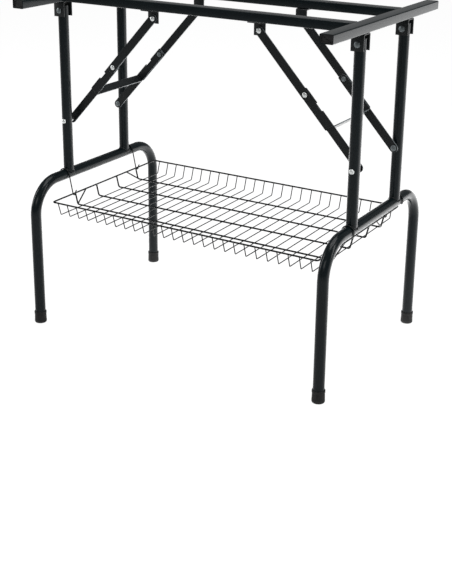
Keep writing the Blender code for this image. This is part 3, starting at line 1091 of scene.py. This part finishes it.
# Braces -----------------------------------------------------------------------------
@dataclass
class Brace:
    """Both pairs of links on one side, with knee plates, cross web and rivets."""

    side: str
    width: float = 0.020
    cheek_width: float = 0.0224
    tail: float = 0.014
    cheek: tuple[float, float] = (0.104, 0.203)
    notch_span: tuple[float, float] = (0.142, 0.163)
    notch_depth: float = 0.0042
    web_at: float = 0.1016
    web_bead: float = 0.0010
    shank: float = 0.0030
    head: float = 0.0058
    pivot: Vector = field(init=False)
    bracket: Vector = field(init=False)
    span: float = field(init=False)
    knee: float = field(init=False)
    angle: float = field(init=False)
    notch: Notch = field(init=False)

    def __post_init__(self) -> None:
        """Work out the brace's line from its joints and its knee."""
        self.pivot = joint_place(f"{self.side}_lower_brace_turn")
        self.bracket = joint_place(f"{self.side}_upper_brace_turn")
        line = self.bracket - self.pivot
        self.span = line.length
        self.knee = (middle(f"{self.side}_front_knee_rivet") - self.pivot).dot(line) / self.span
        self.angle = math.atan2(line.z, abs(line.x))
        floor = -SIDES[self.side] * (self.cheek_width / 2 - self.notch_depth)
        self.notch = Notch(*self.notch_span, floor)

    def turn(self, out: float) -> Matrix:
        """Local X along the brace, from the post pivot, in a layer at Y.

        Args:
            out: The layer's Y.

        Returns:
            The matrix.
        """
        angle = -self.angle if SIDES[self.side] < 0 else self.angle - math.pi
        turn = Matrix.Rotation(angle, 4, "Y") @ Matrix.Rotation(math.pi / 2, 4, "X")
        return Matrix.Translation((self.pivot.x, out, self.pivot.z)) @ turn

    def build(self) -> None:
        """Model every piece of the brace."""
        lower = f"{self.side}_lower_brace"
        upper = f"{self.side}_upper_brace"
        r = self.width / 2
        for row in ROWS:
            stem = f"{self.side}_{row}"
            self.strip(stem + "_lower_arm", -r, self.cheek[1] - 0.001, lower, self.notch)
            start = self.knee - self.tail
            self.strip(stem + "_upper_arm", start, self.span + r, upper)
            node = stem + "_knee_plate"
            plate = flat_bar(node, *self.cheek, self.cheek_width, 0.0025, 5, self.notch)
            lay(plate, self.turn(middle(node).y))
            dress(plate, node + "_cheek", Finish.PLATE, lower, node)
            self.rivets(row, lower, upper)
        self.web(lower)

    def strip(
        self, node: str, start: float, end: float, body: str, notch: Notch | None = None
    ) -> None:
        """A flat arm with round ends.

        Args:
            node: The node that it stands for.
            start: Its first tip along the brace.
            end: Its last tip.
            body: The body that it rides on.
            notch: A step in its upper edge.
        """
        strip = flat_bar(node, start, end, self.width, self.width / 2 - 0.0002, 14, notch)
        lay(strip, self.turn(middle(node).y))
        dress(strip, node + "_strip", Finish.PLATE, body, node)

    def rivets(self, row: str, lower: str, upper: str) -> None:
        """The knee pin, the knee rivet and the bracket rivet.

        Args:
            row: front or back.
            lower: The lower links' body.
            upper: The upper links' body.
        """
        stem = f"{self.side}_{row}"
        shank, head = self.shank, self.head
        knee = self.pivot.lerp(self.bracket, self.knee / self.span)
        node = stem + "_knee_pin"
        low, high = row_span(node, row)
        arm_in = abs(middle(stem + "_lower_arm").y) - PLATE / 2
        profile = [(0.0010, low), (0.0040, low + 0.0004), (0.0056, low + 0.0012)]
        profile += [(head, arm_in - GAP), (shank, arm_in - GAP), (shank, high)]
        pin = lathe(node, profile, PIN_ROUND)
        lay(pin, outward(row, knee))
        # The knee pin gets the darker zinc copy, a painted shade.
        dress(pin, node + "_turned", Finish.SHADED_RIVET, lower, node)
        # The back row gets the darker zinc copy, a painted shade.
        finish = Finish.RIVET if row == "front" else Finish.SHADED_RIVET
        for node, place, body in (
            (stem + "_knee_rivet", knee, upper),
            (stem + "_bracket_rivet", self.bracket, "top_frame"),
        ):
            low, high = row_span(node, row)
            out = abs(middle(stem + "_upper_arm").y) + PLATE / 2 + GAP
            profile = [(shank, low), (shank, out), (head, out), (head, out + 0.0004)]
            profile += dome(0.0055, out + 0.0005, high, 6)
            rivet = lathe(node, profile, PIN_ROUND)
            lay(rivet, outward(row, place))
            dress(rivet, node + "_head", finish, body, node)

    def web(self, body: str) -> None:
        """The cross plate between the lower arms, a flat strip welded at its ends.

        Args:
            body: The body that it rides on.
        """
        node = f"{self.side}_brace_web"
        long = extent(node).y / 2
        half = self.width / 2 - 0.0002
        centre = self.pivot.lerp(self.bracket, self.web_at / self.span)
        across = (self.bracket - self.pivot).normalized()
        normal = Vector((-across.z, 0.0, across.x))
        turn = Matrix((Vector((0, 1, 0)), normal, across)).transposed().to_4x4()
        web = flat_bar(node, -long, long, 2 * half, 0.0015, 4)
        lay(web, Matrix.Translation(centre) @ turn)
        dress(web, node + "_plate", Finish.PLATE, body, node)
        beads = []
        for sign in (-1, 1):
            y = sign * (long - 0.0006)
            for lift in (-1, 1):
                offset = across * lift * (PLATE / 2 + 0.0004)
                path = [centre + offset + normal * half * 0.8 * (i / 12 - 1) for i in range(25)]
                path = [Vector((p.x, y, p.z)) for p in path]
                beads.append(weld_bead("bead", path, self.web_bead, False))
        bead = joined(node + "_weld", beads)
        dress(bead, node + "_weld", Finish.WELD, body)


# Top frame --------------------------------------------------------------------------
@dataclass
class TopFrame:
    """The flat frame of steel bars, its welded brackets and hinge rivets."""

    wide: float = 0.030
    wall: float = 0.0015
    corner: float = 0.0025
    rise: float = 0.022
    ear_drop: float = 0.014
    ear_play: float = 0.0004
    ear_wide: float = 0.029
    tab_drop: float = 0.011
    tab_wide: float = 0.028
    flange: float = 0.030
    fold: float = 0.0022
    plug_deep: float = 0.014
    plug_play: float = 0.0004
    plug_rim: float = 0.0022
    plug_dish: float = 0.0012
    bead: float = 0.0010
    shank: float = 0.0040
    head: float = 0.0070
    top: float = field(init=False)
    hinge_z: float = field(init=False)
    bottom: float = field(init=False)

    def __post_init__(self) -> None:
        """Read the bars' height from the frame."""
        self.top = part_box("left_cross_bar")[1][2]
        self.hinge_z = joint_place("left_leg_fold").z
        self.bottom = self.hinge_z + self.rise

    def build(self) -> None:
        """Model the bars, brackets and rivets."""
        for side in SIDES:
            node = f"{side}_cross_bar"
            x = joint_place(f"{side}_leg_fold").x
            length = extent(node).y
            bar = self.bar(node, length, Matrix.Rotation(math.pi / 2, 4, "Z"), (x, 0.0))
            dress(bar, node + "_tube", Finish.TUBE, "top_frame", node)
            for row in ROWS:
                self.hinge_bracket(side, row, x)
                self.end_plug(f"{side}_{row}", x, ROWS[row] * length / 2, ROWS[row])
                self.hinge_rivet(side, row)
        for row in ROWS:
            node = f"{row}_long_bar"
            y = ROWS[row] * abs(middle(f"left_{row}_post").y)
            length = extent(node).x
            bar = self.bar(node, length, Matrix.Identity(4), (0.0, y))
            dress(bar, node + "_tube", Finish.TUBE, "top_frame", node)
            for side in SIDES:
                self.brace_bracket(side, row)
                self.corner_weld(side, row, length / 2, y)

    def bar(
        self, name: str, length: float, turn: Matrix, place: tuple[float, float]
    ) -> bpy.types.Object:
        """A rectangular tube: a rounded outline drawn out and given its wall.

        Args:
            name: The bar's name.
            length: Its length.
            turn: Its turn from along X.
            place: Its middle in X and Y.

        Returns:
            The bar.
        """
        obj = round_sheet((self.top - self.bottom, self.wide), self.corner, 5)
        bpy.ops.mesh.select_all(action="SELECT")
        bpy.ops.mesh.delete(type="ONLY_FACE")
        bpy.ops.mesh.select_all(action="SELECT")
        draw_out((0, 0, length))
        bpy.ops.object.mode_set(mode="OBJECT")
        tidy_mesh(obj)
        hollow(obj, self.wall)
        centre = (self.top + self.bottom) / 2
        upright = Matrix.Rotation(math.pi / 2, 4, "Y")
        back = Matrix.Translation((-length / 2, 0, 0))
        lay(obj, Matrix.Translation((*place, centre)) @ turn @ back @ upright)
        tidy_mesh(obj)
        obj.name = name
        return obj

    def folded(
        self, name: str, outline: Sequence[tuple[float, float]], wide: float
    ) -> bpy.types.Object:
        """A bracket folded from plate: an open line drawn across X, thickened and softened.

        Args:
            name: The bracket's name.
            outline: Y and Z of the fold line, at the plate's middle.
            wide: The bracket's width along X.

        Returns:
            The bracket, centred on X zero.
        """
        clear_selection()
        bpy.ops.mesh.primitive_plane_add(size=1.0)
        obj = bpy.context.object
        obj.scale = (wide, 1.0, 1.0)
        open_mesh()
        bpy.ops.mesh.select_all(action="DESELECT")
        bpy.ops.object.mode_set(mode="OBJECT")
        for vertex in obj.data.vertices:
            near = vertex.co.y < 0
            y, z = outline[0] if near else outline[1]
            vertex.co = (vertex.co.x, y, z)
            vertex.select = not near
        for edge in obj.data.edges:
            edge.select = all(obj.data.vertices[v].select for v in edge.vertices)
        bpy.ops.object.mode_set(mode="EDIT")
        for (y0, z0), (y1, z1) in zip(outline[1:], outline[2:]):
            draw_out((0, y1 - y0, z1 - z0))
        bpy.ops.object.mode_set(mode="OBJECT")
        obj.name = name
        tidy_mesh(obj)
        take(obj)
        fold = obj.modifiers.new("fold", "BEVEL")
        fold.width = self.fold
        fold.segments = 4
        fold.limit_method = "ANGLE"
        wall = obj.modifiers.new("wall", "SOLIDIFY")
        wall.thickness = PLATE
        wall.offset = 0
        edge = obj.modifiers.new("edge", "BEVEL")
        edge.width = SOFT_EDGE
        edge.segments = 2
        edge.limit_method = "ANGLE"
        edge.angle_limit = math.radians(50)
        for modifier in [m.name for m in obj.modifiers]:
            bpy.ops.object.modifier_apply(modifier=modifier)
        return obj

    def hinge_bracket(self, side: str, row: str, x: float) -> None:
        """The downward U that a post swings in.

        Args:
            side: left or right.
            row: front or back.
            x: Its place along X.
        """
        post = f"{side}_{row}_post"
        half = extent(post).x / 2 + self.ear_play + PLATE / 2
        y = middle(post).y
        low = self.hinge_z - self.ear_drop
        high = self.bottom - PLATE / 2
        outline = [(y - half, low), (y - half, high), (y + half, high), (y + half, low)]
        self.hang(f"{side}_{row}_hinge_ears", outline, self.ear_wide, x)

    def hang(
        self, name: str, outline: Sequence[tuple[float, float]], wide: float, x: float
    ) -> None:
        """Fold a bracket, put it under its bar and dress it.

        Args:
            name: The bracket's name.
            outline: Its fold line in Y and Z.
            wide: Its width along X.
            x: Its place along X.
        """
        obj = self.folded(name, outline, wide)
        lay(obj, Matrix.Translation((x, 0, 0)))
        tidy_mesh(obj)
        dress(obj, name, Finish.PLATE, "top_frame")

    def brace_bracket(self, side: str, row: str) -> None:
        """The angle whose tab carries the top of a brace.

        Args:
            side: left or right.
            row: front or back.
        """
        arm = abs(middle(f"{side}_{row}_upper_arm").y)
        tab = arm - PLATE - GAP
        sign = ROWS[row]
        low = self.hinge_z - self.tab_drop
        high = self.bottom - PLATE / 2
        outline = [(sign * tab, low), (sign * tab, high), (sign * (tab + self.flange), high)]
        x = joint_place(f"{side}_upper_brace_turn").x
        self.hang(f"{side}_{row}_brace_tab", outline, self.tab_wide, x)

    def hinge_rivet(self, side: str, row: str) -> None:
        """The rivet through both ears and the post.

        Args:
            side: left or right.
            row: front or back.
        """
        node = f"{side}_{row}_hinge_rivet"
        low, high = row_span(node, row)
        shank, head = self.shank, self.head
        reach = extent(f"{side}_{row}_post").x / 2 + 0.0007 + PLATE
        centre = abs(middle(f"{side}_{row}_post").y)
        inner, outer = centre - reach, centre + reach
        profile = [(0.0012, low), (0.0050, low + 0.0006), (0.0068, low + 0.0018)]
        profile += [(head, inner), (shank, inner), (shank, outer)]
        profile += [(head, outer), (0.0069, outer + 0.0006)]
        profile += dome(0.0066, outer + 0.0007, high, 6)
        rivet = lathe(node, profile, RIVET_ROUND)
        lay(rivet, outward(row, joint_place(f"{side}_leg_fold")))
        # The hinge rivet under the bar gets the darker zinc copy, a painted shade.
        dress(rivet, node + "_head", Finish.SHADED_RIVET, "top_frame", node)

    def end_plug(self, stem: str, x: float, y: float, out: int) -> None:
        """A dished plastic plug in the open end of a cross bar.

        Args:
            stem: Its side and row.
            x: Its place along X.
            y: The bar's end.
            out: Which way the end faces.
        """
        high = self.top - self.bottom - 2 * self.wall - self.plug_play
        obj = round_sheet((self.wide - 2 * self.wall - self.plug_play, high), 0.0015, 4)
        bpy.ops.mesh.select_all(action="SELECT")
        draw_out((0, 0, self.plug_deep))
        bpy.ops.mesh.inset(thickness=self.plug_rim, depth=0.0)
        draw_out((0, 0, -self.plug_dish))
        bpy.ops.object.mode_set(mode="OBJECT")
        tidy_mesh(obj)
        soften(obj, SOFT_EDGE)
        turn = Matrix.Rotation(-out * math.pi / 2, 4, "X")
        centre = (self.top + self.bottom) / 2
        set_in = self.plug_deep + 0.0008
        lay(obj, Matrix.Translation((x, y - out * set_in, centre)) @ turn)
        tidy_mesh(obj)
        dress(obj, f"{stem}_bar_plug", Finish.PLUG, "top_frame")

    def corner_weld(self, side: str, row: str, x: float, y: float) -> None:
        """The beads where a long bar meets a cross bar.

        Args:
            side: left or right.
            row: front or back.
            x: Half the long bar's length.
            y: Its place along Y.
        """
        beads = []
        half = self.wide / 2 - self.corner
        for z in (self.top - 0.0012, self.bottom + 0.0004):
            path = [Vector((SIDES[side] * x, y + half * (i / 15 - 1), z)) for i in range(31)]
            beads.append(weld_bead("bead", path, self.bead, False))
        bead = joined(f"{side}_{row}_bar_weld", beads)
        dress(bead, bead.name, Finish.WELD, "top_frame")


# Basket -----------------------------------------------------------------------------
@dataclass
class Basket:
    """The welded wire tray: rim ring, bent cross wires, long wires and corner struts."""

    heavy: float = 0.0020
    light: float = 0.00125
    pitch: float = 0.027
    count: int = 26
    floor_wires: tuple[float, ...] = (-0.126, -0.042, 0.042, 0.126)
    diagonal: float = 0.040
    elbow_y: float = 0.2028
    end_lean: float = 0.0065
    seat: float = 0.6
    rim_bend: float = 0.006
    elbow: float = 0.0035
    spot: Point = (0.0019, 0.0024, 0.0009)
    body: str = "basket"
    rim_x: float = field(init=False)
    rim_y: float = field(init=False)
    rim_z: float = field(init=False)
    cross_z: float = field(init=False)
    floor_z: float = field(init=False)
    first: float = field(init=False)

    def __post_init__(self) -> None:
        """Read the tray's outline from its walls."""
        low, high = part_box("basket_front_wall")
        self.rim_x = high[0] - self.heavy
        self.rim_y = -low[1] - self.heavy
        self.rim_z = high[2] - self.heavy
        self.cross_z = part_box("basket_floor")[0][2] + self.light
        self.floor_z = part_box("basket_floor")[1][2] - self.heavy
        self.first = -self.pitch * (self.count - 1) / 2

    def build(self) -> None:
        """Model the tray."""
        self.rim()
        self.cross_wires()
        self.long_wires()
        self.struts()
        self.weld_spots()

    def rim(self) -> None:
        """The ring of heavy wire round the top."""
        x, y = self.rim_x, self.rim_y
        corners = [(0, -y), (x, -y), (x, y), (-x, y), (-x, -y), (0, -y)]
        path = rounded([Vector((a, b, self.rim_z)) for a, b in corners], self.rim_bend, 8)
        ring = wire("basket_rim", path[:-1], self.heavy, closed=True, sides=20)
        nodes = ("basket_left_end", "basket_right_end")
        dress(ring, "basket_rim_ring", Finish.WIRE, self.body, *nodes)

    def cross_wires(self) -> None:
        """Light wires bent to a tray section, from rim to rim."""
        knee = self.elbow_y
        pieces = []
        for i in range(self.count):
            x = self.first + self.pitch * i
            top = self.rim_z - self.heavy
            line = [(-self.rim_y, top), (-knee, self.cross_z)]
            line += [(knee, self.cross_z), (self.rim_y, top)]
            path = rounded([Vector((x, y, z)) for y, z in line], self.elbow, 5)
            pieces.append(wire("cross", path, self.light, sides=12))
        grid = joined("basket_cross_wires", pieces)
        nodes = ("basket_floor", "basket_front_wall", "basket_back_wall")
        dress(grid, "basket_cross_wires", Finish.WIRE, self.body, *nodes)

    def long_wires(self) -> None:
        """Heavy wires along the floor, turned up to the end rims."""
        end = self.rim_x - self.end_lean
        top = self.rim_z - self.heavy * self.seat
        pieces = []
        for y in self.floor_wires:
            line = [(-self.rim_x, top), (-end, self.floor_z)]
            line += [(end, self.floor_z), (self.rim_x, top)]
            path = rounded([Vector((x, y, z)) for x, z in line], self.rim_bend, 7)
            pieces.append(wire("long", path, self.heavy, sides=16))
        grid = joined("basket_long_wires", pieces)
        dress(grid, "basket_long_wires", Finish.WIRE, self.body)

    def struts(self) -> None:
        """Slanted end wires from the floor's corners to the rim."""
        pieces = []
        for sign in (-1, 1):
            for y in (self.floor_wires[0], self.floor_wires[-1]):
                top = y - math.copysign(self.diagonal, y)
                low_x = sign * (self.rim_x - self.end_lean)
                start = Vector((low_x, y, self.floor_z + 0.001))
                end = Vector((sign * self.rim_x, top, self.rim_z - self.heavy * self.seat))
                path = [start.lerp(end, i / 6) for i in range(7)]
                pieces.append(wire("strut", path, self.heavy * 0.9, sides=14))
        struts = joined("basket_end_struts", pieces)
        dress(struts, "basket_end_struts", Finish.WIRE, self.body)

    def weld_spots(self) -> None:
        """Small resistance welds where long wires cross the light ones."""
        clear_selection()
        bpy.ops.mesh.primitive_uv_sphere_add(segments=10, ring_count=6, radius=1.0)
        spot = bpy.context.object
        spot.scale = self.spot
        apply_place()
        height = (self.cross_z + self.floor_z) / 2 - 0.0004
        copies = []
        for i in range(self.count):
            for y in self.floor_wires:
                copy = spot.copy()
                copy.data = spot.data.copy()
                bpy.context.collection.objects.link(copy)
                x = self.first + self.pitch * i
                copy.data.transform(Matrix.Translation((x, y, height)))
                copies.append(copy)
        bpy.data.objects.remove(spot, do_unlink=True)
        spots = joined("basket_weld_spots", copies)
        tidy_mesh(spots, TUBE_SMOOTH)
        dress(spots, "basket_weld_spots", Finish.WIRE, self.body)


# Stage ------------------------------------------------------------------------------
@dataclass
class Studio:
    """A white floor, soft lights and the camera."""

    eye: Point = (1.3107, -2.1663, 1.1564)
    yaw: float = 30.861
    pitch: float = 18.574
    roll: float = -0.702
    lens: float = 68.94246575
    sensor: float = 36.0
    shift: tuple[float, float] = (-0.0094, -0.15)
    rear_glow: tuple[float, float] = (0.05, 2.4)
    rear_span: tuple[float, float] = (-0.3, 0.7)
    seen_glow: float = 0.93
    fill: float = 0.30

    def build(self) -> None:
        """Make the stage."""
        self.floor()
        self.world()
        self.lights()
        self.camera()

    def floor(self) -> None:
        """A wide pale floor that glows, more towards the back, and looks white itself."""
        clear_selection()
        bpy.ops.mesh.primitive_plane_add(size=60.0, location=(0, 0, -0.0005))
        plane = bpy.context.object
        plane.name = "studio_floor"
        material = bpy.data.materials.new("studio_floor")
        material.use_nodes = True
        shader = material.node_tree.nodes["Principled BSDF"]
        shader.inputs["Roughness"].default_value = 0.9
        shader.inputs["Specular IOR Level"].default_value = 0.0
        shader.inputs["Emission Color"].default_value = (1, 1, 1, 1)
        n = Nodes(material.node_tree)
        path = n.add("ShaderNodeLightPath")
        place = n.add("ShaderNodeTexCoord").outputs["Object"]
        split = n.add("ShaderNodeSeparateXYZ")
        n.join(place, split.inputs["Vector"])
        rear = n.blend(split.outputs["Y"], *self.rear_glow, *self.rear_span)
        seen = path.outputs["Is Camera Ray"]
        pale = n.mix(seen, (0.80, 0.80, 0.80, 1.0), (0.12, 0.12, 0.12, 1.0))
        n.join(pale, shader.inputs["Base Color"])
        glow = n.blend(seen, rear, self.seen_glow)
        n.join(glow, shader.inputs["Emission Strength"])
        plane.data.materials.append(material)

    def world(self) -> None:
        """White to the camera, a dim even fill to everything else."""
        world = bpy.data.worlds.new("studio_world")
        bpy.context.scene.world = world
        world.use_nodes = True
        n = Nodes(world.node_tree)
        base = world.node_tree.nodes["Background"]
        base.inputs["Color"].default_value = (1, 1, 1, 1)
        path = n.add("ShaderNodeLightPath")
        n.join(n.blend(path.outputs["Is Camera Ray"], self.fill, 1.0), base.inputs["Strength"])

    def lights(self) -> None:
        """A broad top light and two side strips."""
        plan = (
            ("top_softbox", (0.2, 0.3, 3.2), (0.0, 0.0, 0.3), 2.6, 2.0, 95.0),
            ("left_strip", (-3.0, -1.2, 1.6), (0.0, 0.0, 0.4), 0.5, 2.4, 42.0),
            ("right_strip", (3.0, 0.4, 1.9), (0.0, 0.0, 0.4), 0.5, 2.4, 42.0),
            ("front_fill", (0.6, -3.4, 2.2), (0.0, 0.0, 0.3), 2.0, 1.2, 26.0),
        )
        for name, place, aim, wide, long, power in plan:
            light = bpy.data.lights.new(name, "AREA")
            light.shape = "RECTANGLE"
            light.size = wide
            light.size_y = long
            light.energy = power
            obj = bpy.data.objects.new(name, light)
            obj.location = place
            run = Vector(aim) - Vector(place)
            obj.rotation_euler = run.to_track_quat("-Z", "Y").to_euler()
            bpy.context.scene.collection.objects.link(obj)

    def camera(self) -> None:
        """The camera at its standing place."""
        data = bpy.data.cameras.new("studio_camera")
        data.sensor_width = self.sensor
        data.lens = self.lens
        data.shift_x, data.shift_y = self.shift
        camera = bpy.data.objects.new("studio_camera", data)
        turn = Matrix.Rotation(math.radians(self.yaw), 4, "Z")
        turn = turn @ Matrix.Rotation(math.radians(90.0 - self.pitch), 4, "X")
        turn = turn @ Matrix.Rotation(math.radians(-self.roll), 4, "Z")
        camera.matrix_world = Matrix.Translation(self.eye) @ turn
        bpy.context.scene.collection.objects.link(camera)
        bpy.context.scene.camera = camera
        bpy.context.scene.view_settings.view_transform = "Standard"


def main() -> None:
    """Build everything in order."""
    logging.basicConfig(level=logging.INFO, format="%(name)s: %(message)s")
    build_materials()
    Studio().build()
    for side in SIDES:
        LegFrame(side).build()
        Brace(side).build()
    TopFrame().build()
    Basket().build()
    clear_selection()


if __name__ == "__main__":
    main()
